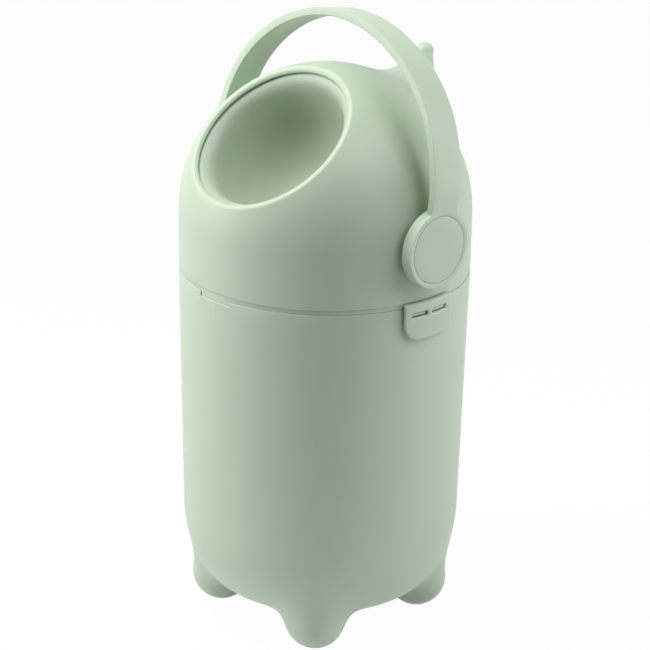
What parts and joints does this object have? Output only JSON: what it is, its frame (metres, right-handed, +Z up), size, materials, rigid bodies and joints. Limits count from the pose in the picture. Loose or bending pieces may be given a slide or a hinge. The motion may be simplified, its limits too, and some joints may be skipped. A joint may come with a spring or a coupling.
{
  "type": "nappy bin",
  "caption": "Round nappy bin on four moulded feet, with a domed head, a slanted mouth and an arched handle that turns the cup over.",
  "frame": {"origin": "centre of the bin on the floor, below its round body", "axes": "+Z up, the slanted mouth faces -Y, the handle turns about an axis along X"},
  "size_m": [0.285, 0.2608, 0.5639],
  "materials": {
    "shell": "satin sage green moulded plastic",
    "seal": "soft matt elastomer",
    "inner_plastic": "plain moulded plastic",
    "steel": "plain zinc plated steel"
  },
  "bodies": {
    "bucket": {"bucket": "shell", "bag_ring": "inner_plastic"},
    "head": {"head_shell": "shell", "collar": "shell", "rim_gasket": "seal", "mouth_seal": "seal", "bush_left": "inner_plastic", "bush_right": "inner_plastic", "clip_pin_left": "steel", "clip_pin_right": "steel"},
    "turning_cup": {"handle": "shell", "cup": "shell", "ball_shell_left": "shell", "ball_shell_right": "shell", "ball_screw_1": "steel", "ball_screw_2": "steel", "ball_screw_3": "steel", "axle_left": "inner_plastic", "axle_right": "inner_plastic", "hub_screw_left": "steel", "hub_screw_right": "steel", "hub_cap_left": "shell", "hub_cap_right": "shell", "axle_screw_left_1": "steel", "axle_screw_left_2": "steel", "axle_screw_left_3": "steel", "axle_screw_right_1": "steel", "axle_screw_right_2": "steel", "axle_screw_right_3": "steel"},
    "clip_left": {"clip_left": "shell"},
    "clip_right": {"clip_right": "shell"}
  },
  "joints": [
    {"name": "head_lift", "type": "slide", "parent": "bucket", "child": "head", "axis": [0, 0, 1], "range_m": [0, 0.2]},
    {"name": "handle_flip", "type": "hinge", "parent": "head", "child": "turning_cup", "pos_m": [0, 0, 0.386], "axis": [1, 0, 0], "range_deg": [0, 130]},
    {"name": "clip_left", "type": "hinge", "parent": "head", "child": "clip_left", "pos_m": [-0.1309, 0, 0.3364], "axis": [0, 1, 0], "range_deg": [0, 32]},
    {"name": "clip_right", "type": "hinge", "parent": "head", "child": "clip_right", "pos_m": [0.1309, 0, 0.3364], "axis": [0, -1, 0], "range_deg": [0, 32]}
  ]
}
